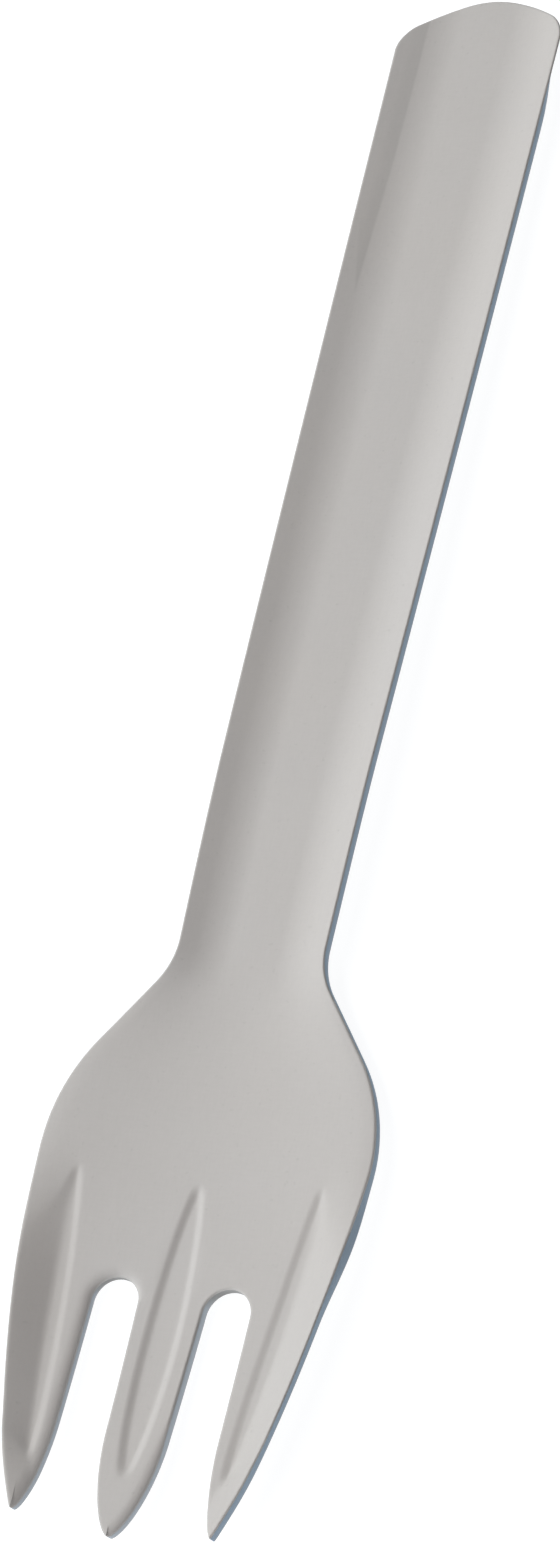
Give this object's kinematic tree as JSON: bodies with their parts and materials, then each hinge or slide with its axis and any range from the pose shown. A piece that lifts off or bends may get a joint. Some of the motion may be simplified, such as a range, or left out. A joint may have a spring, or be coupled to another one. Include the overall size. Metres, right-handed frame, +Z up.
{
  "type": "paper fork",
  "caption": "Disposable table fork pressed from bonded paperboard plies, with tapered tines, a pressed groove on each tine and a channelled handle",
  "frame": {"origin": "on the plane that the fork rests on, under the middle of its overall length, on the plane of symmetry", "axes": "+Y runs along the fork to the end of the handle, -Y to the tips of the tines, +Z up out of the eating face, X across the width"},
  "size_m": [0.0324, 0.16, 0.0033],
  "materials": {
    "face_paper": "satin",
    "board": "matte",
    "core_board": "matte"
  },
  "bodies": {
    "root": {"front_liner": "face_paper", "front_ply": "board", "core_ply": "core_board", "back_ply": "board", "back_liner": "face_paper"}
  },
  "joints": []
}
